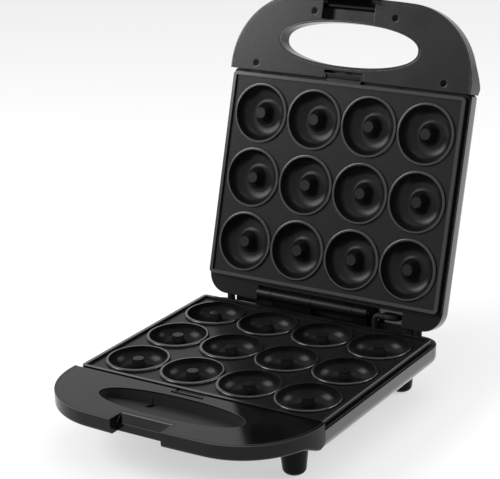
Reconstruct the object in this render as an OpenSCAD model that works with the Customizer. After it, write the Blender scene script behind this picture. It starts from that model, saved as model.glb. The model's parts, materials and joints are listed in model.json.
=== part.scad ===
// Clamshell donut maker: two hinged halves, each a housing with a handle, a heat pan, a tube
// heater and a cast plate of ring cavities. +Z is up, the feet stand on z = 0 and the origin
// is the centre of the four feet. Each half is drawn from its parting plane (z = 0) down,
// and the lid is that same half turned over and swung open about the hinge.

/* [Cavities] */
// Number of cavities across
columns = 4; // [3:1:5]
// Number of cavities front to back
rows = 3; // [2:1:4]
// Pitch of the cavities across
pitch_x = 53; // [53:0.5:58]
// Pitch of the cavities front to back
pitch_y = 56.3; // [55.5:0.1:62]
// Radius of a donut cavity at its mouth
cavity_r = 24; // [21:0.1:24.1]
// Depth of a cavity below its rim
cavity_depth = 12.6; // [10:0.1:12.8]
// Radius of a cavity's floor ring
floor_ring_r = 12.5; // [11.5:0.1:13]
// Radius of the post in the middle of a cavity
post_r = 4.6; // [4:0.1:5.2]
// Width of the raised bead round a cavity
bead_w = 2.3; // [1.8:0.1:2.4]

/* [Plates] */
// Plate edge beyond the outer cavity centres, at each side
plate_side = 31.8; // [31:0.1:36]
// Plate edge beyond the front cavity centres
plate_front_margin = 33.7; // [33:0.1:38]
// Plate edge beyond the rear cavity centres
plate_rear_margin = 31.7; // [31:0.1:36]
// Width of the raised lip round a plate
lip_w = 2.8; // [2.4:0.1:3.2]
// Height of the lip above the plate field
lip_h = 1.9; // [1.2:0.1:2]
// Height of the lip's outer face
lip_face = 3.2; // [3.2:0.1:3.8]
// Thickness of the cast plate
plate_t = 2; // [1.8:0.1:2.4]
// Gap between a plate's parting face and the parting plane
half_gap = 0.4; // [0.3:0.05:0.6]
// Corner radius of a plate
plate_corner = 3; // [2.6:0.1:4]

/* [Housings] */
// Wall thickness of a housing
wall = 2; // [1.8:0.1:2.6]
// Gap between a plate's edge and the housing's inner face
plate_gap = 0.7; // [0.6:0.1:1.4]
// Drop of a housing's rim below the parting plane
rim_drop = 7; // [6.8:0.1:8]
// Depth of a housing from the parting plane
housing_depth = 25; // [25:0.5:32]
// Depth of the hinge deck behind a plate
deck_d = 16.3; // [16:0.1:20]
// Height of the lip along the rear of the lower deck
rear_lip = 4.2; // [1:0.1:4.2]
// Plan radius of the rear corners
rear_corner = 18; // [12:1:22]
// Rounding of the outer edges
edge_r = 10; // [5:0.5:10]

/* [Handles] */
// How far a handle is wider than the housing, at each side
handle_over = 1.2; // [0:0.1:3]
// Reach of a handle in front of its housing
handle_reach = 69.5; // [64:0.5:80]
// Radius of a handle's front corners
handle_corner = 64; // [50:1:66]
// Radius of the bow of a handle's front edge
handle_bow = 1200; // [700:50:3000]
// Depth of a handle at its front
handle_depth = 13; // [12.6:0.1:14]
// Depth of a handle where it meets the housing
handle_root = 21; // [18:0.5:22]
// Length of the curve between the two depths
handle_curve = 27; // [22:1:32]
// Wall thickness of a handle
handle_wall = 2.2; // [1.8:0.1:2.4]
// Thickness of a handle's face
face_t = 2.2; // [1.8:0.1:2.4]
// Width of the handle's rim round its face
face_rim = 2.1; // [1.6:0.1:2.6]
// Half length of the hand hole
hole_half = 65.4; // [56:0.1:70]
// Half width of the hand hole
hole_rise = 18.3; // [17:0.1:20]
// Fullness of the hand hole's ends, 2 for an ellipse
hole_power = 2.2; // [2:0.05:3]
// Centre of the hand hole from the middle plane
hole_x = -2; // [-5:0.5:5]
// Hand hole's centre in front of the housing
hole_ahead = 29.2; // [29:0.1:33]
// Wall round the hand hole
hole_wall = 1.7; // [1.4:0.1:1.8]

/* [Latch] */
// Centre of the latch from the middle plane
latch_x = -6; // [-10:0.5:10]
// Width of the latch
latch_w = 44; // [36:0.5:46]
// Clearance at each side of the latch in the lower notch
latch_side = 1; // [0.5:0.1:1.5]
// Width of the latch bay in the upper handle
bay_w = 50; // [49:0.5:54]
// Depth of the lower notch behind the handle's front
notch_d = 15.2; // [14:0.1:16]
// Height of the lower notch's slope
notch_slope = 6.1; // [5:0.1:7]
// Run of the lower notch's slope
notch_run = 5.9; // [5:0.1:6.5]
// Height of the latch pivot from the parting plane
latch_pivot_h = 7.6; // [7:0.1:8]
// Radius of the latch pin
latch_pin_r = 1.5; // [1.2:0.1:1.6]
// Thickness of the latch blade
latch_t = 2.8; // [2.4:0.1:3.2]
// Engagement of the latch toe under the lower handle
latch_bite = 2.4; // [1.6:0.1:2.6]
// Swing of the latch from released to locked
latch_swing = 24; // [18:1:28]
// Lean of the latch's thumb lip towards the parting plane
latch_lean = 12; // [6:1:14]

/* [Hinge] */
// Centre of the hinge from the middle plane
hinge_x = -7; // [-12:0.5:6]
// Hinge axis in front of the rear faces
hinge_inset = 6.4; // [6.2:0.1:7]
// Hinge axis above the parting plane
hinge_h = 6.4; // [6.2:0.1:6.8]
// Outer radius of a knuckle
knuckle_r = 5; // [4.4:0.1:5]
// Radius of the hinge pin
pin_r = 2; // [1.6:0.1:2.4]
// Length of an end knuckle
knuckle_end = 13.4; // [10:0.1:16]
// Length of a middle knuckle
knuckle_mid = 39.6; // [34:0.1:40]
// Gap between knuckles
knuckle_gap = 0.6; // [0.4:0.1:1]
// Thickness of a hinge leaf
leaf_t = 1.8; // [1.5:0.1:2]
// Opening angle of the lid
lid_open = 106.9; // [95:0.1:107]

/* [Feet] */
// Distance of the feet from the middle plane
foot_x = 84; // [76:0.5:90]
// Distance of the feet in front of and behind the origin
foot_y = 86; // [84:0.1:86]
// Height of a foot
foot_h = 24.7; // [18:0.1:32]
// Radius of a foot at its top
foot_top_r = 11.5; // [10:0.1:12]
// Radius of a foot above its rounded end
foot_end_r = 9.3; // [8.5:0.1:9.8]
// Rounding of a foot's end
foot_round = 4.5; // [3:0.1:5]
// Radius of the screw hole in a foot
foot_hole_r = 3.2; // [3:0.1:3.6]
// Depth of the screw hole in a foot
foot_hole_d = 12; // [8:0.5:16]

/* [Heating] */
// Radius of the heater tube
tube_r = 3.25; // [2.8:0.05:3.3]
// Depth of the heater tube's axis below the parting plane
tube_depth = 13; // [12.8:0.05:13.2]
// Bend radius of the heater tube's axis
tube_bend = 12; // [10:0.5:16]
// Thickness of the heat pan's sheet
pan_t = 0.8; // [0.6:0.1:1]
// Width of the pan's flange over the housing's rim
flange_w = 2.2; // [1:0.1:2.2]

/* [Plate clips] */
// Centre of the plate clips from the middle plane
clip_x = -3; // [-6:0.5:6]
// Width of the lower plate clip
base_clip_w = 29; // [22:0.5:34]
// Width of the upper plate clip
lid_clip_w = 37; // [30:0.5:40]
// Depth of a plate clip front to back
clip_d = 4.3; // [4:0.1:4.4]
// Travel of a plate clip
clip_travel = 2.2; // [2:0.1:2.3]

/* [Fits] */
// Seating gap between pieces that rest on each other
seat = 0.3; // [0.2:0.02:0.34]
// Radial clearance of a pin in its hole
fit = 0.05; // [0.03:0.01:0.09]
// Radius of the machine screws' shanks
screw_r = 1.4; // [1.2:0.05:1.5]
// Radius of the screws' heads
head_r = 2.7; // [2.4:0.05:2.8]
// Height of the screws' heads
head_h = 1.6; // [1.2:0.1:1.8]

/* [Electrics] */
// Distance of the cord inlet from the middle plane
gland_x = -82; // [-88:0.5:-70]
// Radius of the cord inlet's bore
gland_bore_r = 3.5; // [3:0.1:4]
// Radius of the indicator lenses
lens_r = 3.5; // [3:0.1:4.5]
// Spacing of the indicator lenses
lens_gap = 24; // [16:1:40]
// Radius of the insulated leads
lead_r = 1.1; // [0.8:0.05:1.3]
// Radius of the sleeve that carries the leads over the hinge
sleeve_r = 2.6; // [2:0.1:3]

/* [Hidden] */
$fn = 48;
eps = 0.01;
big = 400;

// Heights in a half are depths below its parting plane.
parting_z = foot_h + seat + housing_depth;
col_x = [for (i = [0:columns - 1]) (i - (columns - 1) / 2) * pitch_x];
row_y = [for (j = [0:rows - 1]) (j - (rows - 1) / 2) * pitch_y];
plate_hw = col_x[columns - 1] + plate_side;
plate_f = row_y[rows - 1] + plate_front_margin;
plate_r = row_y[rows - 1] + plate_rear_margin;
field_d = half_gap + lip_h;
cup_d = half_gap + cavity_depth;
cup_bottom = cup_d + plate_t;

inner_hw = plate_hw + plate_gap;
inner_f = plate_f + plate_gap;
inner_r = plate_r + plate_gap;
outer_hw = inner_hw + wall;
outer_f = inner_f + wall;
outer_r = inner_r + deck_d;
floor_d = housing_depth - wall;
deck_under = rim_drop + wall;

pan_floor = cup_bottom + 1.5;
pan_under = pan_floor + pan_t;
pan_out = 0.1;
flange_top = rim_drop - 1 - pan_t;
skirt_in = 1.3;
skirt_bottom = 8;

handle_y = outer_f + seat;
handle_hw = outer_hw + handle_over;
front_y = handle_y + handle_reach;
corner_x = handle_hw - handle_corner;
bow_y = -front_y + handle_bow;
corner_y = bow_y - sqrt(pow(handle_bow - handle_corner, 2) - corner_x * corner_x);
face_gap = 0.3;
face_under = half_gap + face_t;
ledge_d = face_under + seat;
ledge_w = 1.2;
hole_y = -(handle_y + hole_ahead);
notch_back = -(front_y - notch_d);
lip_y = notch_back - notch_run;

hinge_y = outer_r - hinge_inset;
hinge_len = 2 * knuckle_end + 2 * knuckle_mid + 3 * knuckle_gap;
hinge_x0 = hinge_x - hinge_len / 2;
hinge_x1 = hinge_x + hinge_len / 2;
knuckle_start = [0, knuckle_end + knuckle_gap, knuckle_end + knuckle_mid + 2 * knuckle_gap,
    knuckle_end + 2 * knuckle_mid + 3 * knuckle_gap];
knuckle_len = [knuckle_end, knuckle_mid, knuckle_mid, knuckle_end];
post_t = 6;
tray_margin = 1;
tray_side = 2.2;
sleeve_bend = 4.5;
harness_x = hinge_x1 + 6;
harness_mid = harness_x + 2 * sleeve_bend;
lid_harness_x = harness_mid + 2 * sleeve_bend;
harness_room = 7;
tray_x1 = lid_harness_x + harness_room;
tray_y = hinge_y - knuckle_r - tray_margin;
tray_wall = 1.6;
tray_d = hinge_h + knuckle_r + 1.1 + leaf_t + 0.1;

latch_y = lip_y - 0.6 - latch_t / 2;
barrel_r = 3.2;
bay_back = notch_back + 5.3;
clip_rear = handle_y - 0.1;
clip_front = clip_rear + clip_d;
clip_floor = 9;
spring_d = 6.4;
boss_r = 4;
bolt_x = 75;
bolt_d = rim_drop + 3.6;
face_screws = [[38.5, -(front_y - 14.5)], [90, -(handle_y + 6)]];
pan_posts = [[plate_hw - 12.3, plate_f - 12.5], [plate_hw - 12.3, -(plate_r - 12)]];
heat_x = [-(col_x[columns - 1] - pitch_x / 2), col_x[columns - 1] - pitch_x / 2];
heat_front = -(plate_f - 8);
heat_rear = plate_r - 9;
gap_y = [for (j = [0:rows - 2]) (row_y[j] + row_y[j + 1]) / 2];
lamp_y = -(inner_f - 18);
bushing_r = 3.4;
heater_pin_r = 1.2;
pin_end = tray_y - tray_wall - 0.4;
strap_w = 8;
strap_t = 1;
base_leaf_x = [hinge_x0 + knuckle_end / 2, hinge_x0 + knuckle_start[2] + knuckle_mid / 2];
lid_leaf_x = [hinge_x0 + knuckle_start[1] + knuckle_mid / 2, hinge_x1 - knuckle_end / 2];
leaf_screw_y = hinge_y - 1;
leaf_screw_l = 6;
flush_h = 1.3;
gland_neck_r = gland_bore_r + 1.8;
gland_d = deck_under + gland_neck_r + 0.2;
pad_x = outer_hw - 22;
pad_y = outer_r - 4;
pad_r = 3.4;
board_hw = lens_gap / 2 + 9;
board_t = 1;
board_d = pan_under + 0.6;
lens_room = floor_d - seat - 1 - board_d - board_t;
lead_d = (pan_under + floor_d) / 2;
sleeve_end = lead_d - lead_r - seat;
channel_t = 1.5;
notch_x0 = latch_x - latch_w / 2 - latch_side;
notch_x1 = latch_x + latch_w / 2 + latch_side;
bay_x0 = latch_x - bay_w / 2;
bay_x1 = latch_x + bay_w / 2;
well_front = 8.5;
well_deep = 12.6;
well_break = hole_y + hole_rise / 4;
drain_x = hole_x - 26.5;
drain_w = 5;
spring_r = 1.5;
pan_back = plate_r + pan_out;
bay_y = pan_back + 4.8;
block_x0 = heat_x[0] + 8;
block_x1 = block_x0 + 28;
block_h = 9;
stat_x = heat_x[1] - 17;
stat_r = 5;
stat_d = deck_under + stat_r + 0.9;
fuse_x = hinge_x0 - tray_side - wall - 20;

// Placing of the two halves

module base_pose() translate([0, 0, parting_z]) children();

module lid_pose()
    translate([0, hinge_y, parting_z + hinge_h]) rotate([-lid_open, 0, 0])
        translate([0, -hinge_y, -hinge_h]) mirror([0, 0, 1]) children();

module both_sides() {
    children();
    mirror([1, 0, 0]) children();
}

// Plain shapes

module slab(x0, x1, y0, y1, d0, d1) translate([x0, y0, -d1]) cube([x1 - x0, y1 - y0, d1 - d0]);

module rod_x(x0, x1, y, z, r) translate([x0, y, z]) rotate([0, 90, 0]) cylinder(r = r, h = x1 - x0);

module rod_y(y0, y1, x, z, r) translate([x, y0, z]) rotate([-90, 0, 0]) cylinder(r = r, h = y1 - y0);

module rod_z(x, y, d0, d1, r) translate([x, y, -d1]) cylinder(r = r, h = d1 - d0);

// Rectangle with round corners from front f to rear r, as plan of a plate or pan
module round_plan(hw, f, r, c) {
    translate([-hw + c, -f]) square([2 * (hw - c), f + r]);
    translate([-hw, -f + c]) square([2 * hw, f + r - 2 * c]);
    for (x = [-hw + c, hw - c], y = [-f + c, r - c]) translate([x, y]) circle(r = c);
}

// Housing block from depth d0 to d1, rounded along its sides and rear
module soft_block(hw, f, r, d0, d1, er, cr, cf) {
    steps = 6;
    hull()
        for (i = [0:steps]) {
            a = 90 * i / steps;
            inset = er * (1 - cos(a));
            z = i == 0 ? -(d1 - er) : -(d1 - er) - er * sin(a);
            for (s = [-1, 1]) {
                translate([s * (hw - cr), r - cr, z])
                    cylinder(r = max(cr - inset, 0.2), h = i == 0 ? d1 - er - d0 : eps, $fn = 64);
                translate([s * (hw - cf - inset), -f + cf, z])
                    cylinder(r = cf, h = i == 0 ? d1 - er - d0 : eps, $fn = 32);
            }
        }
}

// Wire of radius r along a list of points, mitred at its bends
function heading(pts, i) = let (v = pts[i + 1] - pts[i]) v / norm(v);
function miter(pts, i) = i == len(pts) - 1 ? heading(pts, i - 1)
    : i == 0 ? heading(pts, 0) : heading(pts, i - 1) + heading(pts, i);
function first_ring(p, d, r, sides) =
    let (a = abs(d[2]) > 0.9 ? [1, 0, 0] : [0, 0, 1], u = cross(d, a) / norm(cross(d, a)),
        w = cross(d, u))
    [for (k = [0:sides - 1]) p + r * cos(360 * k / sides) * u + r * sin(360 * k / sides) * w];
function next_ring(ring, d, p, n) = [for (q = ring) q + d * ((p - q) * n) / (d * n)];

module wire(pts, r, sides = 10) {
    rings = [for (i = 0, ring = first_ring(pts[0], heading(pts, 0), r, sides); i < len(pts);
            ring = i < len(pts) - 1
                ? next_ring(ring, heading(pts, i), pts[i + 1], miter(pts, i + 1)) : ring,
            i = i + 1) ring];
    last = (len(pts) - 1) * sides;
    polyhedron(points = [for (ring = rings, q = ring) q], convexity = 6, faces = concat(
        [[for (k = [0:sides - 1]) k]],
        [for (i = [0:len(pts) - 2], k = [0:sides - 1])
            let (a = i * sides + k, b = i * sides + (k + 1) % sides) [a, a + sides, b + sides, b]],
        [[for (k = [sides - 1:-1:0]) last + k]]));
}

// Coil of round wire with its axis along Y, as one swept solid
module coil(x, z, y0, y1, r, w, turns) {
    sides = 6;
    n = turns * 12;
    pts = [for (i = [0:n], k = [0:sides - 1])
        let (a = 360 * turns * i / n, b = 360 * k / sides, q = r + w * cos(b))
        [x + q * cos(a), y0 + w + (y1 - y0 - 2 * w) * i / n + w * sin(b), z + q * sin(a)]];
    faces = concat(
        [[for (k = [0:sides - 1]) k]],
        [for (i = [0:n - 1], k = [0:sides - 1])
            let (a = i * sides + k, b = i * sides + (k + 1) % sides) [a, a + sides, b + sides, b]],
        [[for (k = [sides - 1:-1:0]) n * sides + k]]);
    polyhedron(points = pts, faces = faces, convexity = 6);
}

// Plates

module cavity_void() {
    arc_c = half_gap + 1.5;
    out_r = cup_d - arc_c;
    out_x = cavity_r - out_r;
    post_base = post_r + 1.4;
    in_r = floor_ring_r - post_base;
    rotate_extrude($fn = 72) {
        // steep outer wall
        intersection() {
            translate([out_x, -arc_c]) circle(r = out_r);
            translate([out_x, -cup_d - 1]) square([out_r + 1, out_r + 1]);
        }
        translate([floor_ring_r, -cup_d]) square([out_x - floor_ring_r, out_r]);
        translate([floor_ring_r, -arc_c]) square([cavity_r - floor_ring_r, arc_c + 1]);
        // cone up to the post
        intersection() {
            translate([floor_ring_r, -cup_d + in_r]) circle(r = in_r);
            translate([0, -cup_d - 1]) square([floor_ring_r, in_r + 1]);
        }
        polygon([[post_base, -cup_d + in_r], [floor_ring_r, -cup_d + in_r],
            [floor_ring_r, 1], [0, 1], [0, -half_gap - 0.6], [post_r, -half_gap - 0.6],
            [post_r, -half_gap - 1.6]]);
    }
}

module cup_solid() {
    arc_c = half_gap + 1.5;
    out_r = cup_d - arc_c + plate_t;
    out_x = cavity_r + plate_t - out_r;
    bead_r = bead_w / 2;
    rotate_extrude($fn = 72) {
        intersection() {
            translate([out_x, -arc_c]) circle(r = out_r);
            translate([out_x, -cup_bottom - 1]) square([out_r + 1, out_r + 1]);
        }
        translate([0, -cup_bottom]) square([out_x, out_r]);
        translate([0, -field_d - plate_t])
            square([cavity_r + bead_w, plate_t + field_d - arc_c]);
        // bead
        translate([0, -arc_c]) square([cavity_r + bead_w, arc_c - half_gap - bead_r]);
        intersection() {
            translate([cavity_r + bead_r, -half_gap - bead_r]) circle(r = bead_r);
            translate([cavity_r + bead_r, -half_gap - bead_r]) square(bead_w);
        }
        translate([0, -half_gap - bead_r]) square([cavity_r + bead_r, bead_r]);
    }
}

module plate(clip_w) {
    difference() {
        union() {
            difference() {
                translate([0, 0, -half_gap - lip_face])
                    linear_extrude(lip_face) round_plan(plate_hw, plate_f, plate_r, plate_corner);
                translate([0, 0, -field_d])
                    linear_extrude(field_d)
                        round_plan(plate_hw - lip_w, plate_f - lip_w, plate_r - lip_w,
                            plate_corner - 2);
                translate([0, 0, -big - field_d - plate_t])
                    linear_extrude(big)
                        round_plan(plate_hw - lip_w, plate_f - lip_w, plate_r - lip_w,
                            plate_corner - 2);
            }
            // skirt under the lip
            difference() {
                translate([0, 0, -skirt_bottom])
                    linear_extrude(skirt_bottom - field_d)
                        round_plan(plate_hw - skirt_in, plate_f - skirt_in, plate_r - skirt_in,
                            plate_corner - 1);
                translate([0, 0, -skirt_bottom - 1])
                    linear_extrude(skirt_bottom + 1 - field_d - plate_t)
                        round_plan(plate_hw - skirt_in - plate_t, plate_f - skirt_in - plate_t,
                            plate_r - skirt_in - plate_t, 1);
            }
            for (x = col_x, y = row_y) translate([x, y, 0]) cup_solid();
            // legs that stand on the heat pan
            for (x = [-1, 0, 1], y = gap_y)
                rod_z(x * (plate_hw - 8), y, field_d + eps, pan_floor - seat, 3);
            // ledge that the clip holds
            slab(clip_x - clip_w / 2, clip_x + clip_w / 2, -plate_f, -plate_f + skirt_in + 1,
                half_gap + 1, half_gap + lip_face + 1);
        }
        for (x = col_x, y = row_y) translate([x, y, 0]) cavity_void();
        slab(clip_x - clip_w / 2 - 1, clip_x + clip_w / 2 + 1, -plate_f - 1, -plate_f + 1.1,
            half_gap + 1.2, half_gap + 3);
    }
}

// Heat pans

module heat_pan() {
    hw = plate_hw + pan_out;
    f = plate_f + pan_out;
    r = plate_r + pan_out;
    difference() {
        union() {
            translate([0, 0, -pan_under])
                linear_extrude(pan_under - flange_top) round_plan(hw, f, r, plate_corner);
            translate([0, 0, -flange_top - pan_t])
                linear_extrude(pan_t)
                    round_plan(hw + flange_w, f + flange_w, r + flange_w, plate_corner + flange_w);
        }
        translate([0, 0, -pan_floor])
            linear_extrude(big)
                round_plan(hw - pan_t, f - pan_t, r - pan_t, plate_corner - pan_t);
        both_sides() for (p = pan_posts) rod_z(p[0], -p[1], 0, big, screw_r + 0.2);
        for (x = heat_x) rod_y(r - 5, r + 5, x, -tube_depth, bushing_r + fit);
    }
}

module pan_screws() {
    both_sides() for (p = pan_posts) {
        rod_z(p[0], -p[1], pan_floor - seat - head_h, pan_floor - seat, head_r);
        rod_z(p[0], -p[1], pan_floor - seat - eps, floor_d - 1, screw_r);
    }
}

module heater() {
    bend_y = heat_front + tube_bend;
    for (s = [0, 1]) {
        x = heat_x[s];
        rod_y(bend_y, heat_rear, x, -tube_depth, tube_r);
        translate([x + (s == 0 ? tube_bend : -tube_bend), bend_y, -tube_depth])
            rotate([0, 0, s == 0 ? 180 : 270])
                rotate_extrude(angle = 90) translate([tube_bend, 0]) circle(r = tube_r);
        rod_y(heat_rear - eps, pin_end, x, -tube_depth, heater_pin_r);
    }
    rod_x(heat_x[0] + tube_bend, heat_x[1] - tube_bend, heat_front, -tube_depth, tube_r);
}

module heater_bushings() {
    for (x = heat_x)
        difference() {
            union() {
                rod_y(heat_rear + seat, pan_back + 0.2, x, -tube_depth, bushing_r);
                intersection() {
                    rod_y(heat_rear + seat, pan_back - pan_t - 0.5, x, -tube_depth, bushing_r + 1);
                    slab(-big, big, -big, big, 0, pan_floor - seat);
                }
            }
            rod_y(heat_rear, plate_r + 8, x, -tube_depth, heater_pin_r + fit);
        }
}

module heater_strap() {
    top = tube_depth - tube_r - seat;
    leg = tube_r + 0.3;
    slab(-leg - strap_t, leg + strap_t, -strap_w / 2, strap_w / 2, top - strap_t, top);
    for (s = [-1, 1]) {
        slab(min(s * leg, s * (leg + strap_t)), max(s * leg, s * (leg + strap_t)),
            -strap_w / 2, strap_w / 2, top - eps, pan_floor - seat);
        slab(min(s * leg, s * (leg + 3.2)), max(s * leg, s * (leg + 3.2)),
            -strap_w / 2, strap_w / 2, pan_floor - seat - strap_t, pan_floor - seat);
    }
}

module heater_straps() {
    for (x = heat_x, y = gap_y) translate([x, y, 0]) heater_strap();
    translate([0, heat_front, 0]) rotate([0, 0, 90]) heater_strap();
}

// Housings

module housing_block() {
    difference() {
        soft_block(outer_hw, outer_f, outer_r, rim_drop, housing_depth, edge_r, rear_corner, 3);
        soft_block(inner_hw, inner_f, outer_r - wall, deck_under, floor_d, edge_r - wall,
            rear_corner - wall, 1);
        slab(-inner_hw, inner_hw, -inner_f, inner_r, 0, deck_under + 1);
    }
    // posts under the heat pan
    both_sides() for (p = pan_posts)
        rod_z(p[0], -p[1], pan_under + seat, floor_d + eps, boss_r);
    // nuts moulded in for the handle's bolts
    both_sides() rod_y(-outer_f - 1.6, -inner_f, bolt_x, -bolt_d, boss_r - 0.5);
}

module pan_post_holes() both_sides() for (p = pan_posts)
    rod_z(p[0], -p[1], 0, floor_d - 0.6, screw_r + fit);

module bolt_holes() both_sides() rod_y(-outer_f - 3, -inner_f - 0.4, bolt_x, -bolt_d, screw_r + fit);

module base_housing() color("#101012") base_pose() difference() {
    union() {
        housing_block();
        // lip along the rear of the deck, between the stop pads
        slab(-(pad_x - pad_r - seat), pad_x - pad_r - seat, outer_r - wall, outer_r,
            rim_drop - rear_lip, rim_drop + eps);
        // bosses over the feet
        for (x = [-foot_x, foot_x], y = [-foot_y, foot_y])
            rod_z(x, y, pan_under + 1, floor_d + eps, boss_r);
        // bosses under the hinge leaf and the stop pads
        for (x = base_leaf_x)
            rod_z(x, leaf_screw_y, deck_under - eps, deck_under + 4, boss_r - 0.6);
    }
    pan_post_holes();
    bolt_holes();
    for (x = [-foot_x, foot_x], y = [-foot_y, foot_y])
        rod_z(x, y, pan_under + 2, housing_depth + 1, screw_r + fit);
    for (x = base_leaf_x) rod_z(x, leaf_screw_y, 0, deck_under + 5, screw_r + fit);
    rod_y(outer_r - wall - 5, outer_r + 1, gland_x, -gland_d, gland_neck_r + fit);
    rod_z(harness_x, hinge_y, 0, deck_under + 1, sleeve_r + fit);
    for (x = [-pad_x, pad_x]) rod_z(x, pad_y, 0, deck_under + 1, 1.5 + fit);
}

module lid_housing() color("#0e0e10") lid_pose() difference() {
    union() {
        difference() {
            housing_block();
            slab(hinge_x0 - tray_side, tray_x1, tray_y, big, 0, tray_d);
        }
        // tray that the hinge sits in
        difference() {
            slab(hinge_x0 - tray_side - wall, tray_x1 + wall, tray_y - tray_wall, outer_r - 0.5,
                rim_drop, tray_d + wall);
            slab(hinge_x0 - tray_side, tray_x1, tray_y, big, 0, tray_d);
        }
        for (x = lid_leaf_x)
            rod_z(x, leaf_screw_y, tray_d + wall - eps, tray_d + wall + 3, boss_r - 0.6);
        // bosses behind the lamp board
        for (x = [-1, 1])
            rod_z(latch_x + x * board_hw, lamp_y, board_d + board_t + seat, floor_d + eps, 2.6);
    }
    pan_post_holes();
    bolt_holes();
    for (x = lid_leaf_x) rod_z(x, leaf_screw_y, 0, tray_d + wall + 4, screw_r + fit);
    rod_z(lid_harness_x, hinge_y, 0, tray_d + wall + 1, sleeve_r + fit);
    for (s = [-1, 1])
        rod_z(latch_x + s * lens_gap / 2, lamp_y, floor_d - 1, housing_depth + 1, lens_r + fit);
}

// Handles

// Points of an arc in n steps, leaving off the given number at each end
function arc(x, y, r, a0, a1, n, off = 0) =
    [for (k = [off:n - off]) let (a = a0 + (a1 - a0) * k / n) [x + r * cos(a), y + r * sin(a)]];

function flip(pts) = [for (k = [len(pts) - 1:-1:0]) [-pts[k][0], pts[k][1]]];

module handle_plan(i) {
    tilt = asin(corner_x / (handle_bow - handle_corner));
    right = concat(arc(corner_x, corner_y, handle_corner - i, tilt - 90, 0, 20),
        [[handle_hw - i, 0]]);
    polygon(concat(flip(right), arc(0, bow_y, handle_bow - i, -90 - tilt, tilt - 90, 8, 1), right));
}

// Depth of the handle's underside at a distance ahead of its root
function under(s) = s >= handle_curve ? handle_depth
    : handle_depth + (handle_root - handle_depth) * (1 + cos(180 * s / handle_curve)) / 2;

// Handle block from depth d0 down to the underside raised by t, kept i inside the outline and
// back in front of the rear face
module handle_block(i, d0, t, back = 0) {
    steps = 12;
    intersection() {
        translate([0, 0, -big / 2]) linear_extrude(big) difference() {
            handle_plan(i);
            translate([-big, -handle_y - back]) square([2 * big, big]);
        }
        translate([-big / 2, 0, 0]) rotate([90, 0, 90]) linear_extrude(big)
            polygon(concat(
                [[-handle_y + 1, -d0], [-big, -d0], [-big, -handle_depth + t]],
                [for (k = [steps:-1:0]) let (s = handle_curve * k / steps)
                    [-handle_y - s, -under(s) + t]],
                [[-handle_y + 1, -handle_root + t]]));
    }
}

// Hand hole grown by g
function swell(c) = sign(c) * pow(abs(c), 2 / hole_power);

module hole_plan(g) translate([hole_x, hole_y])
    polygon([for (a = [2.5:5:360]) [(hole_half + g) * swell(cos(a)), (hole_rise + g) * swell(sin(a))]]);

module handle_shell() {
    difference() {
        handle_block(0, half_gap, 0);
        translate([0, 0, -ledge_d]) linear_extrude(big) handle_plan(face_rim);
        handle_block(face_rim + ledge_w, ledge_d - 1, handle_wall, handle_wall);
    }
}

module clip_gap(w, d)
    slab(clip_x - w / 2 - 0.3 - channel_t, clip_x + w / 2 + 0.3 + channel_t,
        -handle_y - handle_wall - 3, -handle_y + 1, 0, d);

module bolt_passes() both_sides()
    rod_y(-handle_y - handle_wall - 3, -handle_y + 1, bolt_x, -bolt_d, boss_r - 0.5 + 0.3);

// Lower notch as a cut, between x0 and x1
module notch_cut(x0, x1) translate([x0, 0, 0]) rotate([90, 0, 90]) linear_extrude(x1 - x0)
    polygon([[notch_back, 1], [notch_back, -half_gap], [lip_y, -half_gap - notch_slope],
        [lip_y, -big], [-big, -big], [-big, 1]]);

module base_handle() color("#161618") base_pose() difference() {
    union() {
        handle_shell();
        // walls round the notch, clear of the finger well, and their rim
        difference() {
            union() {
                intersection() {
                    handle_block(0, ledge_d, 0);
                    slab(notch_x0 - handle_wall, notch_x1 + handle_wall, -front_y - 1,
                        notch_back + handle_wall, ledge_d, big);
                }
                intersection() {
                    handle_block(0, half_gap, 0);
                    slab(notch_x0 - face_rim, notch_x1 + face_rim, -front_y - 1,
                        notch_back + face_rim, half_gap, handle_depth - eps);
                }
            }
            translate([0, 0, -big / 2]) linear_extrude(big) hole_plan(hole_wall + seat);
        }
        both_sides() for (p = face_screws) intersection() {
            handle_block(0, half_gap, 0);
            rod_z(p[0], p[1], boss_top(p), big / 2, boss_r + 0.6);
        }
    }
    notch_cut(notch_x0, notch_x1);
    clip_gap(base_clip_w, clip_floor + 2.2);
    bolt_passes();
    both_sides() for (p = face_screws) {
        rod_z(p[0], p[1], 0, big / 2, screw_r + 0.2);
        rod_z(p[0], p[1], under_at(p) - head_h - 1, big / 2, head_r + 0.4);
    }
}

function under_at(p) = under(-handle_y - p[1] + head_r);
function boss_top(p) = under_at(p) - head_h - 1 - handle_wall;

module handle_face(clip_w, hole_g) {
    translate([0, 0, -face_under]) linear_extrude(face_t) difference() {
        handle_plan(face_rim + face_gap);
        translate([-big, -handle_y]) square([2 * big, big]);
        hole_plan(hole_g);
        translate([clip_x - clip_w / 2 - 0.3, -clip_front - clip_travel - 0.3])
            square([clip_w + 0.6, big]);
    }
    // channel that guides the plate clip
    difference() {
        slab(clip_x - clip_w / 2 - 0.3 - channel_t + seat, clip_x + clip_w / 2 + 0.3 + channel_t - seat,
            -clip_front - clip_travel - 0.3, -handle_y, face_under - eps, clip_floor + 0.3 + 1.4);
        slab(clip_x - clip_w / 2 - 0.3, clip_x + clip_w / 2 + 0.3, -big, 0, 0, clip_floor + 0.3);
    }
}

module well_floor(t) translate([hole_x - hole_half - 2, 0, 0]) rotate([90, 0, 90])
    linear_extrude(2 * hole_half + 4)
        polygon([[hole_y - hole_rise - 4, -well_front], [well_break, -well_front],
            [hole_y + hole_rise + 4, -well_deep], [hole_y + hole_rise + 4, -well_deep - t],
            [well_break, -well_front - t], [hole_y - hole_rise - 4, -well_front - t]]);

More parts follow.
